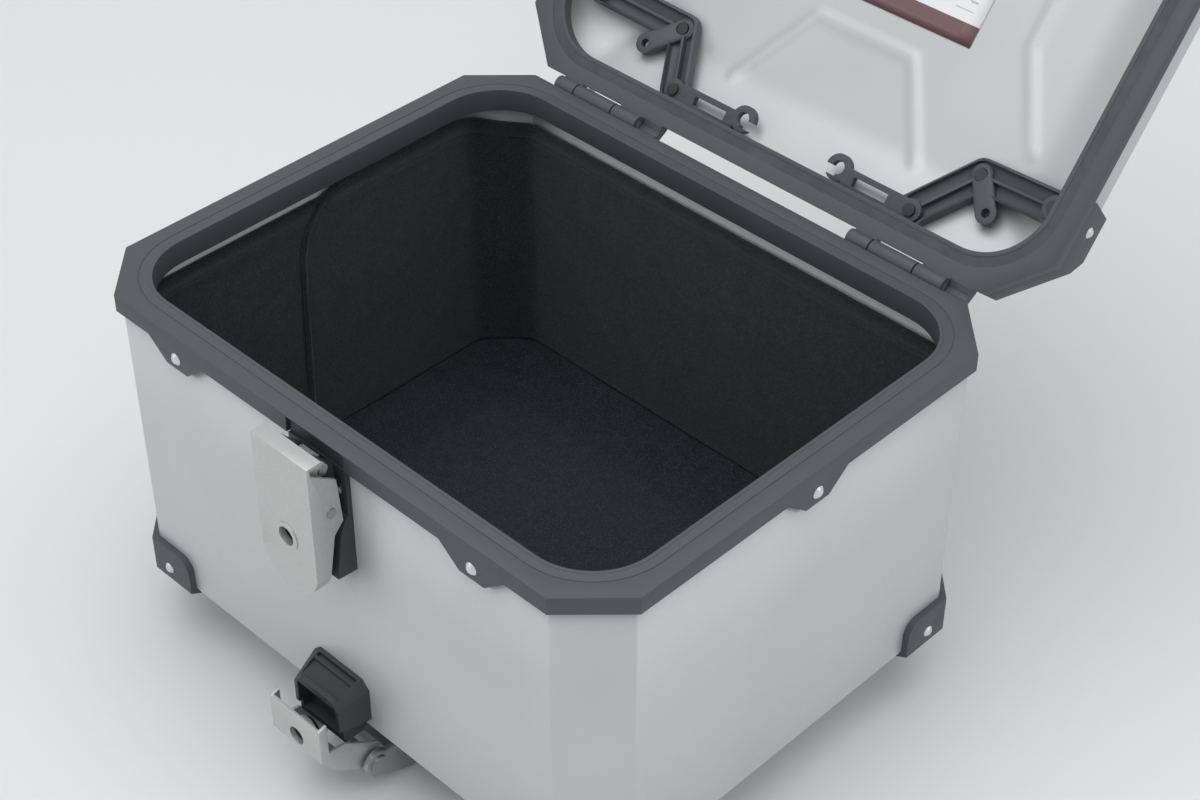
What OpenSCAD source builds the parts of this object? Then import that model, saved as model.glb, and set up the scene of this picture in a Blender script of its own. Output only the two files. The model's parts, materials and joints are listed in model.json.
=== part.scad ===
// Motorcycle top case: a bevelled aluminium box with a plastic rim, a hinged lid that stands open on
// its stops, a draw latch for the lid, and a lever that clamps the case to a luggage rack.
// X is the width, -Y the latch side, +Y the hinge side, and Z = 0 the ground under the rubber feet.

/* [Case] */
// Outside width of the rim
rim_w = 430; // [410:1:460]
// Outside depth of the rim
rim_d = 346; // [336:1:370]
// Leg of the 45 degree cut at each corner of the rim
corner_cut = 34; // [32:1:38]
// Height of the rim's top face above the ground
rim_z = 270; // [266:1:290]
// Height of the foot of the upright walls
wall_z = 52; // [50:1:56]
// Height of the underside of the shell's floor
floor_z = 27; // [26:1:28]
// How far the bevel runs in under the walls
bevel_w = 50; // [46:1:52]
// Thickness of the aluminium sheet
sheet = 1.5; // [1.2:0.1:2]

/* [Rim] */
// Width of the rim's flat top face
rim_face = 18.5; // [17.5:0.5:19]
// How far the rim overhangs the sheet walls
overhang = 4; // [3.5:0.1:4.5]
// Height of the rim's outer wall
rim_h = 11.8; // [11:0.1:13]
// Depth of the skirt inside the mouth
skirt_h = 15.5; // [14:0.5:20]
// Corner radius of the mouth
mouth_r = 42; // [38:1:44]
// Radius of a rivet's shank
rivet_r = 1.6; // [1.4:0.1:1.8]

/* [Lid] */
// Angle that the lid stands open
lid_open = 130; // [100:1:130]
// Gap between the rim's face and the lid's face when closed
lid_gap = 0.6; // [0.5:0.1:1]
// Width of the lid frame's flat face
lid_face = 19; // [18:0.5:19.5]
// Height of the lid frame
lid_frame_h = 8; // [7:0.5:9]
// Height of the foot of the lid's bevel
lid_wall_h = 29; // [27:1:31]
// Height of the lid's flat top
lid_top_h = 50; // [47:1:54]
// Width of the bevel at the lid's sides
lid_bevel_x = 55; // [50:1:58]
// Width of the bevel at the lid's front and back
lid_bevel_y = 47; // [44:1:50]

/* [Hinges] */
// Centres of the two hinges
hinge_x = [-130, 121];
// Distance of the hinge axis behind the rim
hinge_out = 6; // [6:0.1:6.4]
// Depth of the hinge axis below the rim's top face
hinge_drop = 1.5; // [1:0.1:2]
// Radius of the hinge barrels
barrel_r = 5.4; // [5:0.1:5.5]
// Radius of the hinge pins
pin_r = 2.5; // [2:0.1:2.8]

/* [Latches] */
// Half width of the lid latch's lever
upper_half = 23.7; // [23:0.1:25]
// Half width of the rack latch's lever
lower_half = 22.5; // [22:0.1:23]
// Distance of the lid latch's lever face from the wall
upper_face = 28.5; // [28:0.1:29]
// Thickness of the levers' metal
lever_t = 2; // [1.5:0.1:2.2]
// Radius of both lock cylinders
lock_r = 6.2; // [5.5:0.1:6.4]

/* [Liner] */
// Thickness of the felt panels
felt = 4; // [3:0.5:5]
// Height of the felt panels' top edge
felt_top = 241; // [230:1:246]
// Place of the seam between the front and the back panels
seam_y = -20; // [-60:1:20]

/* [Hidden] */
$fn = 64;
fit = 0.05;                    // radial clearance of pins, rivets and screws in their holes
front = -rim_d / 2 + overhang; // the shell's front wall
side = rim_w / 2 - overhang;   // the shell's right wall
rim_top_t = 3;                 // thickness of the rim's top face
skirt_t = 2.5;
lid_z = rim_z + lid_gap;
hinge_y = rim_d / 2 + hinge_out;
hinge_z = rim_z - hinge_drop;
corners = [for (sx = [-1, 1], sy = [-1, 1]) [sx, sy]];
shell_color = [0.78, 0.79, 0.80];
plastic_color = [0.36, 0.37, 0.40];
steel_color = [0.62, 0.63, 0.65];
rivet_color = [0.82, 0.82, 0.84];
felt_color = [0.13, 0.14, 0.16];

// ---- shared shapes ----

// Corner cut of the octagon that lies the distance i inside the rim's outline.
function cut_at(i) = corner_cut - i * (2 - sqrt(2));

// Octagon of size w by d with 45 degree corners of leg c.
function octagon(w, d, c) = [
    [w / 2 - c, -d / 2], [w / 2, -d / 2 + c], [w / 2, d / 2 - c], [w / 2 - c, d / 2],
    [-w / 2 + c, d / 2], [-w / 2, d / 2 - c], [-w / 2, -d / 2 + c], [-w / 2 + c, -d / 2]];

// The rim's outline, moved in by i.
function outline(i) = octagon(rim_w - 2 * i, rim_d - 2 * i, cut_at(i));

// Solid between one outline at z0 and another with as many points at z1.
module frustum(low, z0, high, z1) {
    n = len(low);
    polyhedron(
        points = concat([for (p = low) [p.x, p.y, z0]], [for (p = high) [p.x, p.y, z1]]),
        faces = concat(
            [[for (i = [0:n - 1]) i]],
            [[for (i = [n - 1:-1:0]) n + i]],
            [for (i = [0:n - 1]) [i, n + i, n + (i + 1) % n, (i + 1) % n]]));
}

// Upright wall between two insets of the rim's outline.
module ring(outer, inner, z0, z1) {
    translate([0, 0, z0])
        linear_extrude(z1 - z0)
            difference() {
                polygon(outline(outer));
                polygon(outline(inner));
            }
}

module rounded(w, d, r) {
    square([w - 2 * r, d], center = true);
    square([w, d - 2 * r], center = true);
    for (c = corners)
        translate([c.x * (w / 2 - r), c.y * (d / 2 - r)])
            circle(r);
}

// The mouth's outline, moved in by i from the rim's outline; i at the mouth itself is rim_face.
module mouth(i) {
    rounded(rim_w - 2 * i, rim_d - 2 * i, mouth_r + rim_face - i);
}

// Extrudes a profile drawn as [y, z] along X, centred and w wide.
module across(w) {
    translate([-w / 2, 0, 0])
        rotate([90, 0, 90])
            linear_extrude(w)
                children();
}

// Cylinder along X between x0 and x1, at [y, z].
module bar_x(x0, x1, at, r) {
    translate([x0, at.x, at.y])
        rotate([0, 90, 0])
            cylinder(h = x1 - x0, r = r);
}

// Cylinder pointing out of the front wall, from off0 to off1, at [x, z].
module bar_out(off0, off1, at, r) {
    translate([at.x, front - off0, at.y])
        rotate([90, 0, 0])
            cylinder(h = off1 - off0, r = r);
}

// Point given by its distance out of the front wall and its depth below the rim's face.
function latch(p) = [front - p.x, rim_z + p.y];

// Rivet at the origin, with its head on +Z and its shank through a layer t thick.
module rivet(t, head_r = 4) {
    translate([0, 0, -t])
        cylinder(h = t, r = rivet_r);
    cylinder(h = 1.4, r1 = head_r, r2 = head_r * 0.6);
}

// Puts its children on all four corners, mirrored from the +X +Y one.
module all_corners() {
    for (c = corners)
        corner(c) children();
}

module corner(c) {
    mirror([c.x < 0 ? 1 : 0, 0, 0])
        mirror([0, c.y < 0 ? 1 : 0, 0])
            children();
}

// ---- body: shell and rim ----

// The shell's outer form, moved in by i all round.
module pan(i, top) {
    bevel_top = wall_z + i * 0.25;
    translate([0, 0, bevel_top])
        linear_extrude(top - bevel_top)
            polygon(outline(overhang + i));
    frustum(outline(overhang + bevel_w + i * 0.25), floor_z + i, outline(overhang + i), bevel_top);
}

shell_top = rim_z - rim_top_t;

module body_shell() {
    color(shell_color)
        difference() {
            pan(0, shell_top);
            pan(sheet, shell_top + 1);
            rim_rivet_places() rivet_hole();
            protector_rivet_places() rivet_hole();
            latch_rivet_places() rivet_hole();
            housing_rivet_places() rivet_hole();
            base_screw_places() cylinder(h = 100, r = screw_r + fit, center = true);
        }
}

module rivet_hole() {
    cylinder(h = 30, r = rivet_r + fit, center = true);
}

tab_x = 125;       // side places of the rim's fixing tabs
tab_low = 24.5;    // depth of a tab's lower edge
tab_rivet = 17;    // depth of a tab's rivet

// The three tabs' frames: on the front wall, its centre on the wall's outer face.
module tab_places() {
    for (a = [0, 180], x = [-tab_x, tab_x])
        rotate([0, 0, a])
            translate([x, -rim_d / 2, rim_z])
                rotate([90, 0, 0])
                    children();
    for (a = [90, -90])
        rotate([0, 0, a])
            translate([0, -rim_w / 2, rim_z])
                rotate([90, 0, 0])
                    children();
}

module rim_rivet_places() {
    tab_places()
        translate([0, -tab_rivet, 0])
            children();
}

module rim_tab() {
    translate([0, 0, -overhang])
        linear_extrude(overhang)
            polygon([[-25, -rim_h + 1], [-25, -rim_h], [-9.5, -tab_low], [9.5, -tab_low],
                [25, -rim_h], [25, -rim_h + 1]]);
}

module rim_frame() {
    color(plastic_color)
        difference() {
            union() {
                rim_top();
                ring(0, overhang, rim_z - rim_h, rim_z - rim_top_t);
                mouth_skirt();
                tab_places() rim_tab();
                for (x = hinge_x)
                    translate([x, 0, 0]) body_knuckle();
            }
            rim_rivet_places() rivet_hole();
            latch_recess();
            for (x = hinge_x)
                bar_x(x - 60, x + 60, [hinge_y, hinge_z], pin_r + fit);
        }
}

module rim_top() {
    groove = 10;
    lip_h = 0.3;
    translate([0, 0, rim_z - rim_top_t])
        linear_extrude(rim_top_t)
            difference() {
                polygon(outline(0));
                mouth(groove);
            }
    translate([0, 0, rim_z - rim_top_t])
        linear_extrude(rim_top_t - 0.4)
            difference() {
                mouth(groove);
                mouth(groove + 0.8);
            }
    translate([0, 0, rim_z - rim_top_t])
        linear_extrude(rim_top_t)
            difference() {
                mouth(groove + 0.8);
                mouth(rim_face);
            }
    translate([0, 0, rim_z])
        linear_extrude(lip_h)
            difference() {
                mouth(rim_face - 2.2);
                mouth(rim_face);
            }
}

module mouth_skirt() {
    translate([0, 0, rim_z - skirt_h])
        linear_extrude(skirt_h - rim_top_t)
            difference() {
                mouth(rim_face - skirt_t);
                mouth(rim_face);
            }
}

// Shallow pocket in the rim's front wall, behind the latch claw.
module latch_recess() {
    translate([-24, -rim_d / 2 - 1, rim_z - rim_h - 1])
        cube([48, 3.5, rim_h]);
}

knuckle_half = 16.5;
hinge_half = 34;
pin_end = 38.8;    // end of the hinge pin and of the longer lid knuckle

module body_knuckle() {
    back = rim_d / 2;
    bar_x(-knuckle_half, knuckle_half, [hinge_y, hinge_z], barrel_r);
    across(2 * knuckle_half)
        polygon([[back - 1, hinge_z - 9], [back - 1, hinge_z], [hinge_y, hinge_z],
            [hinge_y + 2, hinge_z - 5]]);
}

module rim_rivets() {
    color(rivet_color)
        rim_rivet_places() {
            rivet(overhang + sheet);
            translate([0, 0, -overhang - sheet - 1])
                cylinder(h = 1, r = 3);
        }
}

// ---- body: corner protectors ----

guard_t = 4.5;       // thickness of a corner protector
guard_top = 77;      // height of its upper edge
guard_low = 30;      // height of its lower edge
guard_reach = 36;    // how far it runs along each wall from the corner cut
guard_round = 10;

// Upright plate outline of a lobe: from u = 0 outwards, with the inner upper corner rounded.
module lobe(reach) {
    h = guard_top - guard_low;
    translate([guard_round, 0])
        square([reach - guard_round, h]);
    square([reach, h - guard_round]);
    translate([guard_round, h - guard_round])
        circle(guard_round);
}

module corner_protector(c) {
    edge_x = rim_w / 2 - corner_cut;
    edge_y = rim_d / 2 - corner_cut;
    reach = guard_reach + corner_cut + guard_t;
    color(plastic_color)
        corner(c)
            difference() {
                intersection() {
                    pan(-guard_t, guard_top);
                    translate([edge_x - guard_reach, rim_d, guard_low])
                        rotate([90, 0, 0])
                            linear_extrude(rim_d)
                                lobe(reach);
                    translate([0, edge_y - guard_reach, guard_low])
                        rotate([90, 0, 90])
                            linear_extrude(rim_w)
                                lobe(reach);
                }
                pan(0, guard_top + 1);
                protector_rivet_pair() rivet_hole();
            }
}

// The two rivets of the +X +Y protector, each with its head side as +Z.
module protector_rivet_pair() {
    translate([166, -front + guard_t, 60])
        rotate([-90, 0, 0])
            children();
    translate([side + guard_t, 123, 60])
        rotate([0, 90, 0])
            children();
}

module protector_rivet_places() {
    all_corners()
        protector_rivet_pair()
            children();
}

module protector_rivets() {
    color(rivet_color)
        protector_rivet_places()
            rivet(guard_t + sheet, 3.8);
}

// ---- body: base ----

base_w = 300;
base_d = 220;
foot_h = 5;
screw_r = 2.5;
bolt_x = 75;       // half spacing of the rack bolt holes
bolt_y = 60;
bolt_r = 3.25;
bolt_deep = 16;
channel_w = 31;    // channel for the sliding rack hook
hook_z = 6;
hook_t = 4;

module base_screw_places() {
    for (c = corners)
        translate([c.x * 110, c.y * 85, 0])
            children();
}

module foot_places() {
    children();
    for (c = corners)
        translate([c.x * 125, c.y * 60, 0])
            children();
}

module base_plate() {
    color(plastic_color)
        difference() {
            translate([0, 0, foot_h])
                linear_extrude(floor_z - foot_h)
                    polygon(octagon(base_w, base_d, 18));
            foot_places() cylinder(h = foot_h + 2, r = 14 + fit);
            base_screw_places() cylinder(h = 100, r = screw_r + fit, center = true);
            base_screw_places() cylinder(h = foot_h + 3 + fit, r = 5 + fit);
            translate([-channel_w / 2, -base_d / 2 - 1, 0])
                cube([channel_w, 80, hook_z + hook_t + 0.5]);
            for (c = corners)
                translate([c.x * bolt_x, c.y * bolt_y, 0])
                    cylinder(h = foot_h + bolt_deep, r = bolt_r);
            tongue_places() tongue_pocket();
            bracket_screw_places() cylinder(h = 30, r = screw_r + fit, center = true);
        }
}

module rubber_feet() {
    color([0.1, 0.1, 0.11])
        foot_places()
            cylinder(h = foot_h + 2, r = 14);
}

module base_screws() {
    color(steel_color)
        base_screw_places() {
            translate([0, 0, foot_h + 0.5])
                cylinder(h = 2.5, r = 5);
            translate([0, 0, foot_h + 3])
                cylinder(h = floor_z + sheet - foot_h - 3, r = screw_r);
        }
}

module tongue_places() {
    for (x = [-50, 50])
        translate([x, base_d / 2, 0])
            children();
}

module tongue_pocket() {
    translate([-9 - fit, -40 - fit, 0])
        cube([18 + 2 * fit, 40 + fit, hook_z + 4]);
}

// Fixed steel tongues that slide under the rack's rear rail.
module rack_tongues() {
    color(steel_color)
        tongue_places() {
            translate([-9, -40, hook_z])
                cube([18, 40 + 16, 4]);
            translate([-9, 12, hook_z - 4])
                cube([18, 4, 4]);
        }
}

// Steel hook that the lower lever draws back to clamp the rack's front rail.
module rack_hook() {
    color(steel_color) {
        translate([-15, -150, hook_z])
            cube([30, 100, hook_t]);
        translate([-15, -150, hook_z - 4.5])
            cube([30, 4, 4.5]);
    }
}

// ---- body: rack latch ----

lower_axis = [front, 23];       // [y, z] of the rack lever's pivot
bracket_in = 24.5;              // inner face of each bracket cheek
bracket_t = 3.5;

module bracket_screw_places() {
    for (x = [-19, 19], z = [14, 21])
        translate([x, -base_d / 2, z])
            rotate([90, 0, 0])
                children();
}

module latch_bracket() {
    web = -base_d / 2;
    cheek = [[front - 5.8, 14.4], [front + 25, 1.2], [web - 3, 1.2], [web - 3, 26],
        [web - 12, 26.4], [front + 7, 29.6]];
    color(steel_color)
        difference() {
            union() {
                for (x = [-bracket_in - bracket_t / 2, bracket_in + bracket_t / 2])
                    translate([x, 0, 0])
                        across(bracket_t)
                            polygon(cheek);
                bar_x(-bracket_in - bracket_t, -bracket_in, lower_axis, 9.5);
                bar_x(bracket_in, bracket_in + bracket_t, lower_axis, 9.5);
                translate([-bracket_in - bracket_t, web - 3, 10.8])
                    cube([2 * (bracket_in + bracket_t), 3, 15.2]);
            }
            bar_x(-40, 40, lower_axis, 3 + fit);
            bracket_screw_places() cylinder(h = 20, r = screw_r + fit, center = true);
        }
}

module bracket_screws() {
    color(steel_color)
        bracket_screw_places() {
            translate([0, 0, -12])
                cylinder(h = 15, r = screw_r);
            translate([0, 0, 3])
                cylinder(h = 2, r = 3.4);
        }
}

module lower_pivot_pin() {
    reach = bracket_in + bracket_t;
    color(steel_color) {
        bar_x(-reach, reach, lower_axis, 3);
        bar_x(-reach - 1.5, -reach, lower_axis, 6);
        bar_x(reach, reach + 1.5, lower_axis, 6);
    }
}

// Plastic socket that the rack lever's lock catches in.
module lower_latch_housing() {
    color(plastic_color)
        difference() {
            union() {
                translate([0, front, 60])
                    rotate([90, 0, 0])
                        frustum(housing_face(25, 30.5), 0, housing_face(20.1, 22.7), 21);
                across(40)
                    polygon([[front, wall_z + 0.3], [front, 61], [front - 18.6, 61],
                        [front - 17.5, 49.2], [front - 3, 49.2]]);
            }
            translate([-17, front - 30, 54])
                cube([34, 30 - housing_floor, 24]);
            housing_tray();
            housing_rivet_places() rivet_hole();
        }
}

// Face of the rack latch's housing, w to each side and h high, with its upper corners cut.
function housing_face(w, h) = [[-w, 0], [w, 0], [w, h - 6], [w - 6, h], [-w + 6, h], [-w, h - 6]];

housing_floor = 12;    // distance of the housing's pocket floor from the wall

// Shallow tray in the housing's sloped top, with a rib left standing along it.
module housing_tray() {
    across(34)
        polygon([[front - 7, 85.2], [front - 7, 95], [front - 18, 95], [front - 18, 81.4]]);
    across(34)
        polygon([[front - 2.5, 86.9], [front - 2.5, 95], [front - 5, 95], [front - 5, 86]]);
}

// The housing's two rivets, in the floor of its pocket.
module housing_rivet_places() {
    for (x = [-12, 12])
        translate([x, front - housing_floor, 66])
            rotate([90, 0, 0])
                children();
}

module latch_rivet_places() {
    for (x = [-17, 17], z = [rim_z - 30, rim_z - 64])
        translate([x, front - 3, z])
            rotate([90, 0, 0])
                children();
}

// Rivets through both latch plates; the upper plate's heads sit in its face.
module latch_rivets() {
    color(rivet_color) {
        latch_rivet_places() flat_rivet(3 + sheet);
        housing_rivet_places() flat_rivet(housing_floor + sheet);
    }
}

module flat_rivet(t) {
    translate([0, 0, -t])
        cylinder(h = t, r = rivet_r);
    cylinder(h = 0.8, r = 2.2);
}

// Profile of the rack lever's cheeks, swung out as it stands at rest.
lower_profile = [for (p = [[38, -195], [38, -222], [29, -235], [9, -249], [-6, -236], [12, -224],
    [19, -218.6], [31.8, -217], [31.8, -193.5]]) latch(p)];
lower_skin = [for (p = [[38, -195], [38, -222], [29, -235], [9, -249], [10.2, -247.4],
    [28, -233], [36, -221.4], [36, -195]]) latch(p)];
lower_lock = [0, rim_z - 214];

module lower_lever() {
    arm = lower_half - lever_t / 2;
    color(steel_color)
        difference() {
            union() {
                for (x = [-arm, arm])
                    translate([x, 0, 0])
                        across(lever_t)
                            polygon(lower_profile);
                for (x = [-lower_half, lower_half - lever_t])
                    bar_x(x, x + lever_t, lower_axis, 8);
                across(2 * lower_half)
                    polygon(lower_skin);
                bar_out(28.3, 37, lower_lock, lock_r + 2.5);
            }
            bar_x(-40, 40, lower_axis, 3 + fit);
            bar_out(20, 50, lower_lock, lock_r + fit);
        }
}

module lower_lock_cylinder() {
    lock_cylinder(25.5, 34.5, lower_lock);
}

// Lock cylinder with its key slot on the outside and a locking tongue on the inside.
module lock_cylinder(off0, off1, at) {
    color([0.2, 0.2, 0.22])
        difference() {
            union() {
                bar_out(off0, off1, at, lock_r);
                translate([at.x - 2.5, front - off0 - 2.5, at.y - 9.5])
                    cube([5, 2.5, 9.5]);
            }
            translate([at.x - 0.9, front - off1 - 1, at.y - 4])
                cube([1.8, 5, 8]);
        }
}

// ---- body: lid latch ----

upper_axis = latch([14, -8.3]);
claw_axis = latch([14.7, -35.7]);
lug_in = 8;
lug_t = 6;

module upper_latch_base() {
    lug = [for (p = [[3, -30], [3, -13], [11.5, -4.6], [16.5, -11.5], [6, -30]]) latch(p)];
    color([0.2, 0.2, 0.22])
        difference() {
            union() {
                translate([-24, front - 3, rim_z - 87])
                    cube([48, 3, 74.7]);
                across(48)
                    polygon([for (p = [[3, -45], [3, -87], [14, -86], [13.2, -80], [9, -54], [5, -46]])
                        latch(p)]);
                for (x = [-lug_in - lug_t / 2, lug_in + lug_t / 2])
                    translate([x, 0, 0])
                        across(lug_t)
                            polygon(lug);
                for (x = [-lug_in - lug_t, lug_in])
                    bar_x(x, x + lug_t, upper_axis, 4.2);
            }
            bar_x(-40, 40, upper_axis, pin_r + fit);
            translate([-14, front - 20, rim_z - 78])
                cube([28, 14, 18]);
            latch_rivet_places() rivet_hole();
            latch_rivet_places() cylinder(h = 30, r = 2.2 + fit);
        }
}

module upper_pivot_pins() {
    color(steel_color)
        for (x = [-19, lug_in])
            bar_x(x, x + 11, upper_axis, pin_r);
}

// Profile of the lid latch lever's cheeks.
upper_profile = [for (p = [[28.5, -1], [9.2, -14.5], [6.8, -45.8], [13.6, -53.1], [18, -77.7],
    [18.9, -81.9], [28.5, -80]]) latch(p)];
upper_lock = [0, rim_z - 58.3];

// Outline of the lid latch's lever with its round lower end, moved in by i.
module lever_outline(i) {
    low = rim_z - 99 + upper_half;
    translate([-upper_half + i, low])
        square([2 * (upper_half - i), rim_z + 3.5 - i - low]);
    translate([0, low])
        circle(upper_half - i);
}

// Front of the lid latch's lever: a plate with a skirt that runs all round it.
module upper_front_plate() {
    skirt = 10.5;
    translate([0, front - upper_face + skirt, 0])
        rotate([90, 0, 0])
            difference() {
                linear_extrude(skirt)
                    lever_outline(0);
                translate([0, 0, -1])
                    linear_extrude(skirt + 1 - lever_t)
                        lever_outline(lever_t);
            }
}

module upper_lever() {
    arm = upper_half - lever_t / 2;
    lug = [for (p = [[27.5, -2], [14, -4.1], [14, -12.5], [27.5, -17]]) latch(p)];
    gap_under_lip = [for (p = [[26.5, 1.5], [17, 1.5], [17, -9], [26.5, -2.4]]) latch(p)];
    color(steel_color)
        difference() {
            union() {
                upper_front_plate();
                for (x = [-arm, arm])
                    translate([x, 0, 0])
                        across(lever_t)
                            polygon(upper_profile);
                for (x = [-16.5, 16.5])
                    translate([x, 0, 0])
                        across(3)
                            polygon(lug);
                for (x = [-18, 15])
                    bar_x(x, x + 3, upper_axis, 4.2);
                bar_out(20, 27, upper_lock, lock_r + 3);
                bar_out(upper_face, upper_face + 0.8, upper_lock, lock_r + 3);
            }
            for (x = [-arm, arm])
                translate([x, 0, 0])
                    across(lever_t + 0.2)
                        polygon(gap_under_lip);
            bar_x(-40, 40, upper_axis, pin_r + fit);
            bar_x(-40, 40, claw_axis, 2 + fit);
            bar_out(10, 40, upper_lock, lock_r + fit);
        }
}

module upper_lock_cylinder() {
    lock_cylinder(17.5, 25, upper_lock);
}

// Hook that draws the striker down; it swings on the lever.
module latch_claw() {
    nose = [for (p = [[11, -38], [7.5, -30], [7.5, -17], [6.6, -15], [6.6, -8.6], [9.4, -8.6],
        [10.8, -16], [11.5, -28], [17, -34]]) latch(p)];
    color(steel_color)
        difference() {
            union() {
                across(14)
                    polygon(nose);
                bar_x(-7, 7, claw_axis, 4.6);
            }
            bar_x(-40, 40, claw_axis, 2 + fit);
        }
}

module claw_pin() {
    color(steel_color) {
        bar_x(-upper_half, upper_half, claw_axis, 2);
        bar_x(-upper_half - 1, -upper_half, claw_axis, 3.2);
        bar_x(upper_half, upper_half + 1, claw_axis, 3.2);
    }
}

// ---- body: liner ----

// Felt tray over the shell's floor and bevel.
module liner_floor() {
    gap = 0.2;
    color(felt_color)
        difference() {
            pan_floor(sheet + gap);
            pan_floor(sheet + gap + felt);
        }
}

// The part of the shell's inner form below the walls, i in from the shell's outside.
module pan_floor(i) {
    frustum(outline(overhang + bevel_w + i * 0.25), floor_z + i,
        outline(overhang + i * 0.25 + 2.5), wall_z - 1 + i);
}

module liner_walls() {
    ring(overhang + sheet + 0.2, overhang + sheet + 0.2 + felt, wall_z + felt + 4, felt_top);
}

module liner_front() {
    color(felt_color)
        intersection() {
            liner_walls();
            translate([-rim_w / 2, -rim_d / 2, 0])
                cube([rim_w, rim_d / 2 + seam_y, rim_z]);
        }
}

module liner_back() {
    color(felt_color)
        intersection() {
            liner_walls();
            translate([-rim_w / 2, seam_y, 0])
                cube([rim_w, rim_d / 2 - seam_y, rim_z]);
        }
}

// ---- hinges ----

module hinge_pin(x) {
    color(rivet_color)
        bar_x(x - hinge_half, x + pin_end, [hinge_y, hinge_z], pin_r);
}

// Turns the lid from closed to the angle at which it stands open.
module opened() {
    translate([0, hinge_y, hinge_z])
        rotate([-lid_open, 0, 0])
            translate([0, -hinge_y, -hinge_z])
                children();
}

// ---- lid: sheet and frame (drawn closed, then opened) ----

// The lid's outer form, moved in by i.
module dome(i, low) {
    w = rim_w - 2 * overhang;
    d = rim_d - 2 * overhang;
    translate([0, 0, lid_z + low])
        linear_extrude(lid_wall_h - low - i * 0.2)
            polygon(outline(overhang + i));
    frustum(outline(overhang + i), lid_z + lid_wall_h - i * 0.2,
        octagon(w - 2 * lid_bevel_x - i, d - 2 * lid_bevel_y - i, 22), lid_z + lid_top_h - i);
}

skin_low = 4;      // height of the lid sheet's lower edge, inside the frame

module lid_shell() {
    color(shell_color)
        opened()
            difference() {
                dome(0, skin_low);
                dome(sheet, skin_low - 1);
                striker_rivet_places() rivet_hole();
                guard_rivet_places() rivet_hole();
            }
}

seal_in = 9.8;      // inset of the seal's channel
seal_w = 6.4;
seal_deep = 3.5;

module lid_frame() {
    color(plastic_color)
        opened()
            difference() {
                union() {
                    translate([0, 0, lid_z])
                        linear_extrude(lid_frame_h)
                            difference() {
                                polygon(outline(0));
                                mouth(lid_face);
                            }
                    for (x = hinge_x)
                        translate([x, 0, 0]) lid_knuckles();
                }
                ring(overhang, overhang + sheet, lid_z + skin_low, lid_z + lid_frame_h + 1);
                translate([0, 0, lid_z - 1])
                    linear_extrude(seal_deep + 1)
                        seal_ring();
                striker_rivet_places() rivet_hole();
                for (x = hinge_x)
                    bar_x(x - 60, x + 60, [hinge_y, hinge_z], pin_r + fit);
            }
}

module seal_ring() {
    difference() {
        mouth(seal_in);
        mouth(seal_in + seal_w);
    }
}

module lid_knuckles() {
    gap = 1.2;
    for (span = [[-hinge_half, -knuckle_half - gap], [knuckle_half + gap, pin_end]]) {
        bar_x(span[0], span[1], [hinge_y, hinge_z], barrel_r);
        translate([(span[0] + span[1]) / 2, 0, 0])
            across(span[1] - span[0])
                polygon([[rim_d / 2 - 1, lid_z], [rim_d / 2 - 1, lid_z + 6], [rim_d / 2 + 4, lid_z + 5.5],
                    [hinge_y + 4, hinge_z + 3.6], [hinge_y, hinge_z], [rim_d / 2 + 1, hinge_z + 2]]);
    }
    translate([pin_end + 8, 0, 0]) lid_stop();
}

// Block beside the knuckles that meets the rim's back wall when the lid is open.
module lid_stop() {
    w = 15;
    translate([0, hinge_y, hinge_z])
        rotate([lid_open, 0, 0])
            across(w)
                polygon([[-hinge_out + 0.3, -1.5], [-hinge_out + 0.3, -7], [3, -7], [10, -3], [12, -1],
                    [6.3, 3.8], [5.1, 2.95], [3.5, -1.5]]);
}

module lid_seal() {
    color([0.1, 0.1, 0.11])
        opened()
            translate([0, 0, lid_z + 0.3])
                linear_extrude(seal_deep - 0.3)
                    seal_ring();
}

// ---- lid: corner guards ----

guard_side = 77;      // how far a guard runs from the corner

// Plate outline along one wall, starting at the corner cut.
module guard_plate() {
    polygon([[corner_cut - 0.1, lid_frame_h], [corner_cut - 0.1, 24], [43, 33], [72, 33],
        [guard_side, 11], [guard_side, lid_frame_h]]);
}

module lid_guard(c) {
    color(plastic_color)
        opened()
            difference() {
                corner(c)
                    intersection() {
                        ring(0, overhang, lid_z + lid_frame_h, lid_z + 33);
                        union() {
                            translate([rim_w / 2 - corner_cut, rim_d / 2 - corner_cut, lid_z])
                                cube([corner_cut, corner_cut, 24]);
                            translate([rim_w / 2, rim_d / 2, lid_z])
                                rotate([90, 0, -90])
                                    linear_extrude(corner_cut)
                                        guard_plate();
                            translate([rim_w / 2, rim_d / 2, lid_z])
                                rotate([90, 0, 180])
                                    linear_extrude(corner_cut)
                                        guard_plate();
                        }
                    }
                guard_rivet_places() rivet_hole();
            }
}

module guard_rivet_places() {
    all_corners() {
        translate([rim_w / 2, rim_d / 2 - 60, lid_z + 21])
            rotate([0, 90, 0])
                children();
        translate([rim_w / 2 - 60, rim_d / 2, lid_z + 21])
            rotate([-90, 0, 0])
                children();
    }
}

module guard_rivets() {
    color(rivet_color)
        opened()
            guard_rivet_places()
                rivet(overhang + sheet, 3.5);
}

// ---- lid: inner braces ----

// Points of a brace: distance from the lid's middle, distance in from its edge, height.
brace_apex = [124.4, 63.3, 42];
brace_elbow = [99.3, 24.4, 27];
brace_foot = [186.3, 64.1, 23];
brace_points = [brace_apex, brace_elbow, brace_foot];
brace_tops = [48.4, 33.5, 34];    // heights at which the standoffs meet the lid's skin
brace_t = 4.5;
brace_r = 11;

// Moves children to a brace point on the +X +Y corner.
module at_brace(p) {
    translate([p.x, rim_d / 2 - p.y, lid_z + p.z])
        children();
}

module brace_link(a, b, r, h) {
    hull() {
        at_brace(a) cylinder(h = h, r = r, $fn = 32);
        at_brace(b) cylinder(h = h, r = r, $fn = 32);
    }
}

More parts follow.
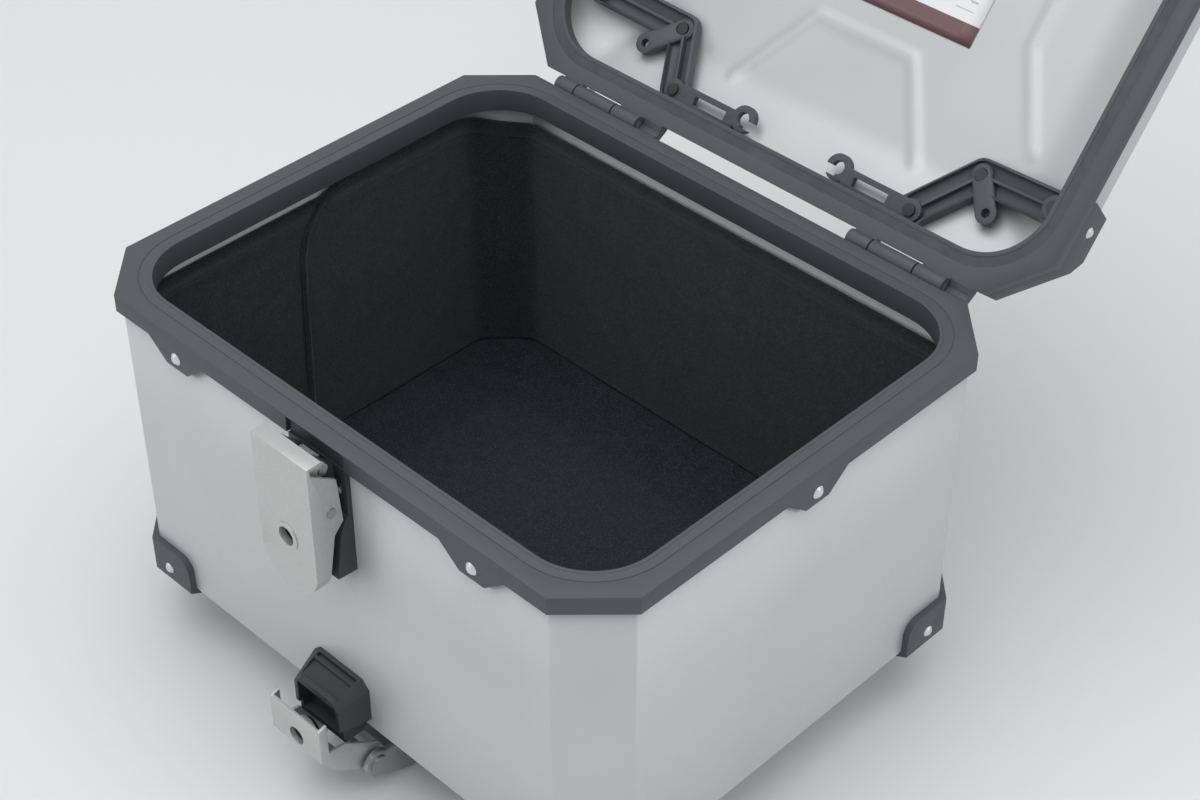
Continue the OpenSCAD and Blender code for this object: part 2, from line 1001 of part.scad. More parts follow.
// Both links of a brace: from the elbow up to the apex, and down again to the foot.
module brace_links(r, h) {
    brace_link(brace_elbow, brace_apex, r, h);
    brace_link(brace_apex, brace_foot, r, h);
}

// Tongue that hangs from the apex, with a round end and a hole.
module brace_tongue() {
    end = [142.5, 43.5, 34];
    difference() {
        brace_link(brace_apex, end, 7, brace_t);
        at_brace(end) cylinder(h = 20, r = 3, center = true);
    }
}

// Arm along the hinge side with a slot and an open hook for a strap.
module brace_hook_arm() {
    y = rim_d / 2 - 24;
    hook_x = 40;
    translate([0, 0, lid_z + brace_elbow.z])
        linear_extrude(brace_t)
            difference() {
                union() {
                    translate([hook_x + 6, y - 7])
                        square([brace_elbow.x - hook_x - 6, 14]);
                    translate([hook_x, y - 4])
                        circle(9);
                }
                translate([hook_x, y - 4])
                    circle(4.5);
                translate([hook_x - 12, y - 4])
                    square([12, 6]);
                translate([54, y - 3])
                    square([27, 6]);
            }
}

module lid_brace(c, hooked) {
    color(plastic_color)
        opened()
            corner(c)
                difference() {
                    union() {
                        difference() {
                            brace_links(brace_r, brace_t);
                            translate([0, 0, -2.5])
                                brace_links(brace_r - 2, brace_t);
                        }
                        brace_links(1, brace_t);
                        for (i = [0:2]) {
                            at_brace(brace_points[i]) cylinder(h = brace_t, r = 7.5);
                            at_brace(brace_points[i])
                                cylinder(h = brace_tops[i] - brace_points[i].z, r = 6);
                        }
                        brace_tongue();
                        if (hooked)
                            brace_hook_arm();
                    }
                    for (p = brace_points)
                        at_brace(p) {
                            cylinder(h = 40, r = 2 + fit, center = true);
                            translate([0, 0, -20])
                                cylinder(h = 20, r = 4.5);
                        }
                }
}

module brace_screws() {
    color([0.15, 0.15, 0.16])
        opened()
            all_corners()
                for (p = brace_points)
                    at_brace(p) {
                        cylinder(h = brace_t + 1.5, r = 2);
                        translate([0, 0, -2])
                            cylinder(h = 2, r = 4);
                    }
}

// ---- lid: label and striker ----

module lid_label() {
    color([0.93, 0.93, 0.94])
        opened()
            translate([-72, -43, lid_z + lid_top_h - sheet - 0.5])
                linear_extrude(0.5)
                    square([144, 86]);
}

module striker_rivet_places() {
    for (x = [-4.4, 4.4])
        translate([x, -rim_d / 2 - 2, lid_z + 5])
            rotate([90, 0, 0])
                children();
}

// Steel plate that hangs from the lid's front for the latch claw to hold.
module lid_striker() {
    color(steel_color)
        opened()
            difference() {
                translate([-7.4, -rim_d / 2 - 2, rim_z - 10.5])
                    cube([14.8, 2, 10.5 + lid_gap + lid_frame_h]);
                translate([-5, -rim_d / 2 - 3, rim_z - 8])
                    cube([10, 4, 5]);
                striker_rivet_places() rivet_hole();
            }
}

module striker_rivets() {
    color(rivet_color)
        opened()
            striker_rivet_places() {
                translate([0, 0, -2 - overhang - sheet])
                    cylinder(h = 2 + overhang + sheet, r = rivet_r);
                cylinder(h = 0.8, r = 2.6);
            }
}

body_shell();
rim_frame();
rim_rivets();
corner_protector([-1, -1]);  // corner_protector_front_left
corner_protector([1, -1]);  // corner_protector_front_right
corner_protector([-1, 1]);  // corner_protector_back_left
corner_protector([1, 1]);  // corner_protector_back_right
protector_rivets();
base_plate();
rubber_feet();
base_screws();
rack_tongues();
latch_bracket();
bracket_screws();
lower_latch_housing();
lower_pivot_pin();
upper_latch_base();
upper_pivot_pins();
latch_rivets();
hinge_pin(hinge_x[0]);  // hinge_pin_left
hinge_pin(hinge_x[1]);  // hinge_pin_right
liner_floor();
liner_front();
liner_back();
lower_lever();
lower_lock_cylinder();
rack_hook();
upper_lever();
upper_lock_cylinder();
latch_claw();
claw_pin();
lid_shell();
lid_frame();
lid_seal();
lid_guard([-1, -1]);  // lid_guard_front_left
lid_guard([1, -1]);  // lid_guard_front_right
lid_guard([-1, 1]);  // lid_guard_back_left
lid_guard([1, 1]);  // lid_guard_back_right
guard_rivets();
lid_brace([-1, -1], false);  // lid_brace_front_left
lid_brace([1, -1], false);  // lid_brace_front_right
lid_brace([-1, 1], true);  // lid_brace_back_left
lid_brace([1, 1], true);  // lid_brace_back_right
brace_screws();
lid_label();
lid_striker();
striker_rivets();
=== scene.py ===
"""Looks for the motorcycle top case: folded sheet metal, moulded plastic, felt liner, camera and light."""

import json
import math

import bmesh
import bpy
from mathutils import Matrix, Vector, noise

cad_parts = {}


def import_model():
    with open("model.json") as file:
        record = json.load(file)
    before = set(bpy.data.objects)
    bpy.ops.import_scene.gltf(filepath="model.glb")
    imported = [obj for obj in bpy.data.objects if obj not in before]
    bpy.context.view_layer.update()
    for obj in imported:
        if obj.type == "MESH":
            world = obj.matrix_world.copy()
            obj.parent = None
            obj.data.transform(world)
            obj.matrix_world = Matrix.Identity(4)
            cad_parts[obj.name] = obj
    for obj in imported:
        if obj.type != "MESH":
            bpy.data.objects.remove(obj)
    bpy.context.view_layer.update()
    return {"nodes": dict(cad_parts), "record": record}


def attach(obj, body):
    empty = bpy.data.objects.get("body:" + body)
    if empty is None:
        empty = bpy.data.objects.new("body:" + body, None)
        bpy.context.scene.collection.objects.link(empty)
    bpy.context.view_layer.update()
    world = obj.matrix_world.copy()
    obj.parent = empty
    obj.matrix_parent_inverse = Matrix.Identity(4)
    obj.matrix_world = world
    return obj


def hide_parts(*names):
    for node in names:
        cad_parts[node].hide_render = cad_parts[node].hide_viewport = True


MM = 0.001

# ---- sizes, in millimetres, as in the CAD model ----

RIM_W, RIM_D = 430.0, 346.0      # the rim's outline
CORNER_CUT = 34.0                # leg of the outline's 45 degree corners
RIM_Z = 270.0                    # the rim's top face
OVERHANG = 4.0                   # from the rim's outline in to the sheet walls
WALL_Z, FLOOR_Z = 52.0, 27.0     # foot of the upright walls, underside of the floor
BEVEL_W = 50.0                   # run of the bevel under the walls
SHEET = 1.5                      # thickness of the aluminium
HINGE = Vector((0.0, 179.0, 268.5))
LID_OPEN = 130.0                 # degrees
LID_Z = 270.6                    # the lid's face when closed
LID_WALL_H, LID_TOP_H = 29.0, 50.0
LID_BEVEL_X, LID_BEVEL_Y = 55.0, 47.0
CORNER_BEVEL = 44.0              # run of the bevel at the lid's corners
SEAM_Y = -20.0                   # seam between the liner's front and back panels
FRONT_TOPS = (241.6, 241.6)      # height of the front panel's top edge on the side and end walls
BACK_TOPS = (247.0, 239.5)       # the same for the back panel
FRONT_FROM = 45.0                # where the front panel ends, behind the back panel


# ---- small mesh tools ----

def link_mesh(name, bm):
    """Makes an object from a bmesh as it stands."""
    mesh = bpy.data.meshes.new(name)
    bm.to_mesh(mesh)
    bm.free()
    obj = bpy.data.objects.new(name, mesh)
    bpy.context.scene.collection.objects.link(obj)
    return obj


def new_object(name, bm, smooth_angle=35.0):
    """Makes a piece from a bmesh in millimetres, and shades it smooth up to an angle."""
    bmesh.ops.scale(bm, vec=(MM, MM, MM), verts=bm.verts)
    bmesh.ops.recalc_face_normals(bm, faces=bm.faces)
    obj = link_mesh(name, bm)
    obj.data.shade_smooth()
    obj.data.set_sharp_from_angle(angle=math.radians(smooth_angle))
    return obj


def apply_modifiers(obj):
    """Bakes the modifiers of a piece into its mesh."""
    graph = bpy.context.evaluated_depsgraph_get()
    graph.update()
    mesh = bpy.data.meshes.new_from_object(obj.evaluated_get(graph))
    obj.modifiers.clear()
    obj.data = mesh


def open_lid(bm):
    """Turns what is drawn on the closed lid to where the lid stands open."""
    turn = Matrix.Translation(HINGE) @ Matrix.Rotation(math.radians(-LID_OPEN), 4, "X")
    bmesh.ops.transform(bm, matrix=turn @ Matrix.Translation(-HINGE), verts=bm.verts)


def cut_at(inset):
    return CORNER_CUT - inset * (2 - math.sqrt(2))


def octagon(w, d, cut):
    x, y = w / 2, d / 2
    return [Vector(p) for p in (
        (x - cut, -y), (x, -y + cut), (x, y - cut), (x - cut, y),
        (-x + cut, y), (-x, y - cut), (-x, -y + cut), (-x + cut, -y))]


def outline(inset):
    """The rim's outline, moved in."""
    return octagon(RIM_W - 2 * inset, RIM_D - 2 * inset, cut_at(inset))


def fillet(before, corner, after, radius, steps):
    """Points of the arc that rounds one corner."""
    a = (before - corner).normalized()
    b = (after - corner).normalized()
    half = a.angle(b) / 2
    centre = corner + (a + b).normalized() * (radius / math.sin(half))
    back = radius / math.tan(half)
    start = (corner + a * back - centre).normalized()
    end = (corner + b * back - centre).normalized()
    return [centre + start.slerp(end, k / steps) * radius for k in range(steps + 1)]


def round_corners(points, radius, steps=6):
    """Rounds each corner of a closed outline, with the same number of points at every one."""
    out = []
    for i, p in enumerate(points):
        out += fillet(points[i - 1], p, points[(i + 1) % len(points)], radius, steps)
    return out


def loop_at(bm, points, z):
    return [bm.verts.new((p.x, p.y, z)) for p in points]


def bridge(bm, low, high):
    n = len(low)
    for i in range(n):
        j = (i + 1) % n
        bm.faces.new((low[i], low[j], high[j], high[i]))


def solidify(obj, thickness):
    """Thickens a surface inwards, in millimetres."""
    mod = obj.modifiers.new("thickness", "SOLIDIFY")
    mod.thickness = thickness * MM
    mod.offset = -1
    mod.use_even_offset = True
    apply_modifiers(obj)


# ---- node tools ----

class Nodes:
    """One material's node tree, with short ways to add and link nodes."""

    def __init__(self, name):
        self.material = bpy.data.materials.new(name)
        self.material.use_nodes = True
        self.tree = self.material.node_tree
        self.shader = self.tree.nodes["Principled BSDF"]

    def add(self, kind, **settings):
        node = self.tree.nodes.new(kind)
        for key, value in settings.items():
            if hasattr(node, key):
                setattr(node, key, value)
            else:
                node.inputs[key.replace("_", " ")].default_value = value
        return node

    def link(self, out_socket, in_socket):
        self.tree.links.new(out_socket, in_socket)

    def shade(self, **values):
        for key, value in values.items():
            self.shader.inputs[key.replace("_", " ")].default_value = value

    def position(self, scale=(1, 1, 1), turn=(0, 0, 0)):
        """Place on the piece at rest, in metres, stretched by scale."""
        coords = self.add("ShaderNodeTexCoord")
        mapping = self.add("ShaderNodeMapping")
        mapping.inputs["Scale"].default_value = scale
        mapping.inputs["Rotation"].default_value = turn
        self.link(coords.outputs["Object"], mapping.inputs["Vector"])
        return mapping.outputs["Vector"]

    def noise(self, vector, scale, detail=3.0, rough=0.5):
        node = self.add("ShaderNodeTexNoise", Scale=scale, Detail=detail, Roughness=rough)
        self.link(vector, node.inputs["Vector"])
        return node.outputs["Fac"]

    def remap(self, value, low, high, out_low, out_high):
        node = self.add("ShaderNodeMapRange")
        for key, number in zip(("From Min", "From Max", "To Min", "To Max"),
                               (low, high, out_low, out_high)):
            node.inputs[key].default_value = number
        self.link(value, node.inputs["Value"])
        return node.outputs["Result"]

    def mix(self, fac, a, b):
        """Colour mix; a and b are colours or sockets."""
        node = self.add("ShaderNodeMix", data_type="RGBA")
        self.link(fac, node.inputs["Factor"])
        for socket, value in ((node.inputs[6], a), (node.inputs[7], b)):
            if isinstance(value, tuple):
                socket.default_value = (*value, 1)
            else:
                self.link(value, socket)
        return node.outputs[2]

    def math(self, operation, a, b=None):
        node = self.add("ShaderNodeMath", operation=operation)
        for socket, value in zip(node.inputs, (a, b)):
            if value is None:
                continue
            if isinstance(value, (int, float)):
                socket.default_value = value
            else:
                self.link(value, socket)
        return node.outputs[0]

    def colour(self, socket):
        self.link(socket, self.shader.inputs["Base Color"])

    def roughness(self, socket):
        self.link(socket, self.shader.inputs["Roughness"])

    def bump(self, height, distance, strength=1.0):
        node = self.add("ShaderNodeBump", Strength=strength, Distance=distance)
        self.link(height, node.inputs["Height"])
        self.link(node.outputs["Normal"], self.shader.inputs["Normal"])


def scaled(rgb, factor):
    return tuple(min(1.0, c * factor) for c in rgb)


# ---- materials ----

def sheet_metal(name, base):
    """Satin anodised aluminium: soft sheen, fine grain and slow tone drift."""
    n = Nodes(name)
    at = n.position()
    drift = n.noise(at, 9.0, 2.0)
    grain = n.noise(n.position((1, 1, 0.12)), 900.0, 2.0)
    tone = n.remap(drift, 0.3, 0.7, 0.0, 1.0)
    n.colour(n.mix(tone, scaled(base, 0.965), scaled(base, 1.02)))
    n.roughness(n.remap(grain, 0.3, 0.7, 0.42, 0.52))
    n.shade(Metallic=0.45, Specular_IOR_Level=0.5)
    n.bump(grain, 0.00002, 0.35)
    return n.material


def moulded(name, base, grain_size=0.00028, gloss=(0.5, 0.62)):
    """Moulded plastic: a leathery spark-eroded grain, duller and lighter where it is rubbed."""
    n = Nodes(name)
    at = n.position()
    cells = n.add("ShaderNodeTexVoronoi", Scale=1.0 / (grain_size * 2.2))
    n.link(at, cells.inputs["Vector"])
    cloud = n.noise(at, 28.0, 4.0)
    fine = n.noise(at, 1400.0, 2.0)
    tone = n.remap(cloud, 0.35, 0.7, 0.0, 1.0)
    worn = n.mix(tone, scaled(base, 0.93), scaled(base, 1.08))
    n.colour(n.mix(n.remap(fine, 0.35, 0.65, 0.0, 1.0), worn, base))
    n.roughness(n.remap(cloud, 0.3, 0.7, *gloss))
    n.shade(Specular_IOR_Level=0.5)
    n.bump(cells.outputs["Distance"], 0.00006, 0.5)
    return n.material


def cast_silver(name, base):
    """Silver painted die casting: metal flake under a thin gloss."""
    n = Nodes(name)
    at = n.position()
    flake = n.noise(at, 2600.0, 1.0)
    cloud = n.noise(at, 35.0, 3.0)
    n.colour(n.mix(n.remap(flake, 0.35, 0.7, 0, 1), scaled(base, 0.9), scaled(base, 1.1)))
    n.roughness(n.remap(cloud, 0.3, 0.7, 0.34, 0.42))
    n.shade(Metallic=0.6, Coat_Weight=0.15, Coat_Roughness=0.25)
    n.bump(flake, 0.00001, 0.3)
    return n.material


def plain_metal(name, base, rough, metallic=0.9, specular=0.5):
    """Turned or plated hardware with faint tool marks."""
    n = Nodes(name)
    marks = n.noise(n.position((1, 1, 6)), 700.0, 2.0)
    n.colour(n.mix(n.remap(marks, 0.35, 0.65, 0, 1), scaled(base, 0.9), scaled(base, 1.05)))
    n.roughness(n.remap(marks, 0.3, 0.7, rough * 0.85, rough * 1.2))
    n.shade(Metallic=metallic, Specular_IOR_Level=specular)
    n.bump(marks, 0.00001, 0.4)
    return n.material


def soft_rubber(name, base):
    n = Nodes(name)
    at = n.position()
    dust = n.noise(at, 60.0, 5.0)
    n.colour(n.mix(n.remap(dust, 0.4, 0.75, 0, 1), base, scaled(base, 1.5)))
    n.roughness(n.remap(dust, 0.3, 0.7, 0.68, 0.82))
    n.bump(n.noise(at, 1800.0), 0.00003, 0.4)
    return n.material


def needled_felt(name, base, light):
    """Needled felt: short matted fibres with lighter flecks and a soft sheen."""
    n = Nodes(name)
    at = n.position()
    fibres = n.noise(n.position((1, 1, 0.35), (0.4, 0.3, 0.2)), 1500.0, 4.0, 0.7)
    crossed = n.noise(n.position((0.35, 1, 1), (0.9, 0.1, 0.7)), 1300.0, 4.0, 0.7)
    mat = n.math("MULTIPLY", fibres, crossed)
    mottle = n.noise(at, 110.0, 4.0, 0.6)
    tone = n.mix(n.remap(mottle, 0.35, 0.7, 0, 1), scaled(base, 0.8), scaled(base, 1.2))
    n.colour(n.mix(n.remap(mat, 0.25, 0.39, 0, 0.85), tone, light))
    n.shade(Roughness=0.95, Sheen_Weight=0.25, Sheen_Roughness=0.5, Specular_IOR_Level=0.2)
    n.bump(mat, 0.0006, 0.8)
    return n.material


def label_film(name):
    """White printed film: a muted band along its lower edge and faint rows of plain bars."""
    n = Nodes(name)
    coords = n.add("ShaderNodeAttribute", attribute_name="label_place")
    parts = n.add("ShaderNodeSeparateXYZ")
    n.link(coords.outputs["Vector"], parts.inputs["Vector"])
    across, up = parts.outputs["X"], parts.outputs["Y"]
    band = n.math("LESS_THAN", up, 0.16)
    row = n.math("FRACT", n.math("MULTIPLY", up, 13.0))
    in_row = n.math("LESS_THAN", row, 0.22)
    block = n.noise(n.position((1, 1, 1)), 40.0, 1.0)
    bars = n.math("MULTIPLY", in_row, n.math("GREATER_THAN", block, 0.42))
    inner = n.math("MULTIPLY", n.math("GREATER_THAN", across, 0.06), n.math("LESS_THAN", across, 0.94))
    inner = n.math("MULTIPLY", inner, n.math("GREATER_THAN", up, 0.24))
    inner = n.math("MULTIPLY", inner, n.math("LESS_THAN", up, 0.93))
    film = n.mix(n.math("MULTIPLY", bars, inner), (0.80, 0.80, 0.81), (0.46, 0.47, 0.50))
    n.colour(n.mix(band, film, (0.16, 0.085, 0.09)))
    n.shade(Roughness=0.38, Coat_Weight=0.2)
    return n.material


# ---- pieces: the folded sheet of the case and the lid ----

def case_shell(material):
    """The aluminium box with softly folded corners, bevelled floor and real sheet thickness."""
    fold = 3.0
    levels = (
        (RIM_Z - 3.2, OVERHANG, fold),
        (WALL_Z + 3.0, OVERHANG, fold),
        (WALL_Z + 0.6, OVERHANG + 0.35, fold),
        (WALL_Z - 1.4, OVERHANG + 3.0, fold),
        (FLOOR_Z + 1.2, OVERHANG + BEVEL_W - 3.0, 1.2),
        (FLOOR_Z + 0.2, OVERHANG + BEVEL_W + 0.5, 0.9),
    )
    bm = bmesh.new()
    loops = [loop_at(bm, round_corners(outline(i), r), z) for z, i, r in levels]
    for high, low in zip(loops, loops[1:]):
        bridge(bm, low, high)
    bm.faces.new(list(reversed(loops[-1])))
    obj = new_object("case_shell", bm)
    solidify(obj, SHEET)
    obj.data.materials.append(material)
    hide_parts("body_shell")
    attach(obj, "case")
    return obj


def smooth_min(a, b, k):
    h = max(k - abs(a - b), 0.0) / k
    return min(a, b) - h * h * k * 0.25


def distance_to_path(x, y, path):
    """Shortest distance from a point to a chain of straight runs."""
    p = Vector((x, y))
    best = 1e9
    for a, b in zip(path, path[1:]):
        run = b - a
        t = max(0.0, min(1.0, (p - a).dot(run) / run.length_squared))
        best = min(best, (p - (a + run * t)).length)
    return best


def from_edge(x, s):
    """A point on the lid by its side place and its distance in from the hinge edge."""
    return Vector((x, RIM_D / 2 - s))


RIDGE_WIDTH, RIDGE_RISE = 6.5, 1.5
WALL_FOOT = 4.5                  # height of the lower edge of the lid's upright walls


def lid_ridges():
    """The pressed ridges of the lid's top: pockets at the sides, and one at the back and the front."""
    paths = []
    for sx in (-1, 1):
        paths.append([from_edge(144 * sx, 88), from_edge(110 * sx, 147),
                      from_edge(110 * sx, 199), from_edge(144 * sx, 258)])
    for near, far in ((51, 110), (RIM_D - 51, RIM_D - 110)):
        paths.append([from_edge(-76, near), from_edge(-39, far), from_edge(39, far),
                      from_edge(76, near)])
    return paths


def lid_height(x, y, ridges):
    """Height of the lid's outer surface over its face: a flat top, four bevels and pressed ridges."""
    half_x, half_y = RIM_W / 2 - OVERHANG, RIM_D / 2 - OVERHANG
    rise = LID_TOP_H - LID_WALL_H
    side = LID_WALL_H + (half_x - abs(x)) * rise / LID_BEVEL_X
    end = LID_WALL_H + (half_y - abs(y)) * rise / LID_BEVEL_Y
    diagonal = (half_x + half_y - cut_at(OVERHANG) - abs(x) - abs(y)) / math.sqrt(2)
    corner = LID_WALL_H + diagonal * rise / CORNER_BEVEL
    h = smooth_min(smooth_min(side, end, 3.0), corner, 3.0)
    h = smooth_min(h, LID_TOP_H, 3.5)
    near = min(distance_to_path(x, y, path) for path in ridges)
    if near < RIDGE_WIDTH:
        h -= RIDGE_RISE * (0.5 + 0.5 * math.cos(math.pi * near / RIDGE_WIDTH))
    return h


def lid_skin(material):
    """The lid's pressed sheet: a height field over the octagon, with upright walls under it."""
    step = 3.0
    inset = OVERHANG
    edge = outline(inset)
    half_x, half_y = RIM_W / 2 - inset, RIM_D / 2 - inset
    bm = bmesh.new()
    columns = int(2 * half_x / step)
    rows = int(2 * half_y / step)
    bmesh.ops.create_grid(bm, x_segments=columns, y_segments=rows, size=1.0)
    for v in bm.verts:
        v.co.x *= half_x
        v.co.y *= half_y
    for a, b in zip(edge, edge[1:] + edge[:1]):
        normal = Vector((b.y - a.y, a.x - b.x, 0))
        if abs(normal.x) > 1e-6 and abs(normal.y) > 1e-6:
            cut = bm.verts[:] + bm.edges[:] + bm.faces[:]
            bmesh.ops.bisect_plane(bm, geom=cut, plane_co=(a.x, a.y, 0), plane_no=normal,
                                   clear_outer=True)
    ridges = lid_ridges()
    for v in bm.verts:
        v.co.z = LID_Z + lid_height(v.co.x, v.co.y, ridges)
    rim = [e for e in bm.edges if e.is_boundary]
    for drop in (3.0, LID_WALL_H - WALL_FOOT):
        made = bmesh.ops.extrude_edge_only(bm, edges=rim)["geom"]
        for v in made:
            if isinstance(v, bmesh.types.BMVert):
                v.co.z = LID_Z + LID_WALL_H - drop
        rim = [e for e in made if isinstance(e, bmesh.types.BMEdge)]
    open_lid(bm)
    obj = new_object("lid_skin", bm, 50.0)
    solidify(obj, SHEET)
    obj.data.materials.append(material)
    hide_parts("lid_shell")
    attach(obj, "lid")
    return obj


# ---- pieces: the felt liner ----

def soften(bm, amount, scale, seed):
    """Slow waves in a felt panel, so that it doesn't look machined."""
    for v in bm.verts:
        wave = noise.noise(v.co * scale + Vector((seed, seed, seed)))
        flat = Vector((v.co.x / 205.0, v.co.y / 163.0, 0))
        v.co -= flat.normalized() * abs(wave) * amount


def wall_path(y_from, y_to, inset, radius=20.0, step=6.0):
    """Points along the inside of the walls, round one end of the case, starting on the left wall."""
    sign = -1 if y_to < y_from else 1
    x, y = RIM_W / 2 - inset, RIM_D / 2 - inset
    cut = cut_at(inset)
    corners = [Vector(p) for p in ((-x, y_from), (-x, sign * (y - cut)), (-x + cut, sign * y),
                                   (x - cut, sign * y), (x, sign * (y - cut)), (x, y_from))]
    path = [corners[0]]
    for a, p, b in zip(corners, corners[1:], corners[2:]):
        path += fillet(a, p, b, radius, 5)
    path.append(corners[-1])
    dense = [path[0]]
    for a, b in zip(path, path[1:]):
        count = max(1, round((b - a).length / step))
        dense += [a.lerp(b, k / count) for k in range(1, count + 1)]
    return dense


HEM = 10.0                       # width of the hem along a panel's top edge
PANEL_H = 184.0                  # usual height of a panel
HEM_IN = 0.9955                  # how much nearer the case's middle the thicker hem lies
PIPING_R = 2.0                   # radius of the piping


def hem_rows(rows=30):
    """Rows of a felt panel from foot to top as (share of the height, on the hem or not)."""
    plain = 1 - HEM / PANEL_H
    return [(plain * r / rows, False) for r in range(rows + 1)] + [
        (plain + 0.004, True), (plain + 0.03, True), (1.0, True)]


def top_at(p, inset, tops):
    """Height of a panel's top edge above a place on its path; tops are side wall, end wall."""
    end = RIM_D / 2 - inset
    t = max(0.0, min(1.0, (abs(p.y) - end + cut_at(inset) + 20) / (cut_at(inset) + 20)))
    return tops[0] + (tops[1] - tops[0]) * t * t * (3 - 2 * t)


def piping(bm, points, radius, sides=10):
    """Round piping along points that lie in a plane across X."""
    rings = []
    for i, p in enumerate(points):
        run = (points[min(i + 1, len(points) - 1)] - points[max(i - 1, 0)]).normalized()
        u = Vector((1, 0, 0))
        w = run.cross(u)
        turns = [2 * math.pi * k / sides for k in range(sides)]
        rings.append([bm.verts.new(p + (u * math.cos(a) + w * math.sin(a)) * radius) for a in turns])
    for low, high in zip(rings, rings[1:]):
        bridge(bm, low, high)
    bm.faces.new(rings[0])
    bm.faces.new(rings[-1])


def bind_edges(obj, y_from, inset, bottom, tops, edge_curve):
    """Adds the piping along a panel's two free ends."""
    bm = bmesh.new()
    added = bmesh.new()
    for side in (-1, 1):
        points = []
        for k in range(49):
            t = k / 48
            y = y_from + edge_curve(t)
            top = top_at(Vector((0, y)), inset, tops)
            points.append(Vector((side * (RIM_W / 2 - inset - 1.5), y, bottom + (top - bottom) * t)))
        piping(added, points, PIPING_R)
    bmesh.ops.scale(added, vec=(MM, MM, MM), verts=added.verts)
    bmesh.ops.recalc_face_normals(added, faces=added.faces)
    spare = bpy.data.meshes.new("piping")
    added.to_mesh(spare)
    added.free()
    bm.from_mesh(obj.data)
    bm.from_mesh(spare)
    bm.to_mesh(obj.data)
    bm.free()


def felt_wall(name, y_from, y_to, inset, tops, bottom, edge_curve, material, node):
    """One U-shaped felt panel; edge_curve gives how far its free ends draw back at a height."""
    path = wall_path(y_from, y_to, inset)
    sign = -1 if y_to < y_from else 1
    bm = bmesh.new()
    grid = []
    for share, on_hem in hem_rows():
        back = edge_curve(share)
        line = []
        for p in path:
            z = bottom + (top_at(p, inset, tops) - bottom) * share
            q = p * (HEM_IN if on_hem else 1.0)
            along = (p.y - y_from) * sign
            reach = RIM_D / 2 - inset - cut_at(inset) - 20
            if abs(abs(p.x) - (RIM_W / 2 - inset)) < 0.01 and along < reach and back > 0:
                q.y = y_from + sign * (back + along * (reach - back) / reach)
            line.append(bm.verts.new((q.x, q.y, z)))
        grid.append(line)
    for low, high in zip(grid, grid[1:]):
        for i in range(len(path) - 1):
            bm.faces.new((low[i], low[i + 1], high[i + 1], high[i]))
    soften(bm, 0.7, 0.03, len(name))
    bmesh.ops.recalc_face_normals(bm, faces=bm.faces)
    probe = bm.faces[0]
    if probe.normal.dot(Vector((probe.calc_center_median().x, 0, 0))) > 0:
        bmesh.ops.reverse_faces(bm, faces=bm.faces)
    bmesh.ops.scale(bm, vec=(MM, MM, MM), verts=bm.verts)
    obj = link_mesh(name, bm)
    mod = obj.modifiers.new("thickness", "SOLIDIFY")
    mod.thickness = 3.0 * MM
    mod.offset = 1
    bevel = obj.modifiers.new("edge", "BEVEL")
    bevel.width = 1.1 * MM
    bevel.segments = 3
    bevel.angle_limit = math.radians(60)
    apply_modifiers(obj)
    if edge_curve is curved_edge:
        bind_edges(obj, y_from, inset, bottom, tops, edge_curve)
    obj.data.shade_smooth()
    obj.data.materials.append(material)
    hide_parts(node)
    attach(obj, "case")
    return obj


def straight_edge(_):
    return 0.0


def curved_edge(t):
    """The back panel's piped edge: nearly straight, then swept back towards the top corner."""
    start, lean, sweep = 0.72, 4.0, 42.0
    if t < start:
        return lean * t / start
    u = (t - start) / (1 - start)
    return lean + sweep * (1 - math.sqrt(max(0.0, 1 - u * u)))


def felt_floor(material):
    """Felt tray over the floor and its bevel, with rounded folds."""
    up = SHEET + 0.6    # from the shell's underside to just over its floor
    levels = (
        (WALL_Z + 4.0, OVERHANG + SHEET + 3.0, 16.0),
        (WALL_Z - 0.5, OVERHANG + SHEET + 5.5, 15.0),
        (WALL_Z - 6.0, OVERHANG + SHEET + 12.0, 12.0),
        (FLOOR_Z + up + 5.0, OVERHANG + BEVEL_W - 10.0, 3.0),
        (FLOOR_Z + up + 3.4, OVERHANG + BEVEL_W - 4.0, 1.5),
        (FLOOR_Z + up + 3.0, OVERHANG + BEVEL_W + 1.0, 0.5),
    )
    bm = bmesh.new()
    loops = [loop_at(bm, round_corners(outline(i), r), z) for z, i, r in levels]
    for high, low in zip(loops, loops[1:]):
        bridge(bm, low, high)
    bm.faces.new(list(reversed(loops[-1])))
    obj = new_object("liner_floor_felt", bm, 60.0)
    solidify(obj, 2.6)
    obj.data.materials.append(material)
    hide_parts("liner_floor")
    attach(obj, "case")
    return obj


# ---- pieces: label ----

def label(material):
    """Thin printed film on the inside of the lid."""
    half_w, near, far = 72.0, 130.0, 216.0
    under = LID_Z + LID_TOP_H - SHEET - 0.35
    bm = bmesh.new()
    place = bm.loops.layers.float_vector.new("label_place")
    n = 12
    grid = [[bm.verts.new((-half_w + 2 * half_w * i / n, RIM_D / 2 - near - (far - near) * j / n,
                           under)) for i in range(n + 1)] for j in range(n + 1)]
    for j in range(n):
        for i in range(n):
            face = bm.faces.new((grid[j][i], grid[j + 1][i], grid[j + 1][i + 1], grid[j][i + 1]))
            for loop, (a, b) in zip(face.loops, ((i, j), (i, j + 1), (i + 1, j + 1), (i + 1, j))):
                loop[place] = (a / n, b / n, 0)
    open_lid(bm)
    obj = new_object("interior_label", bm)
    obj.data.materials.append(material)
    solidify(obj, 0.25)
    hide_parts("lid_label")
    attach(obj, "lid")
    return obj


# ---- CAD nodes with their edges softened ----

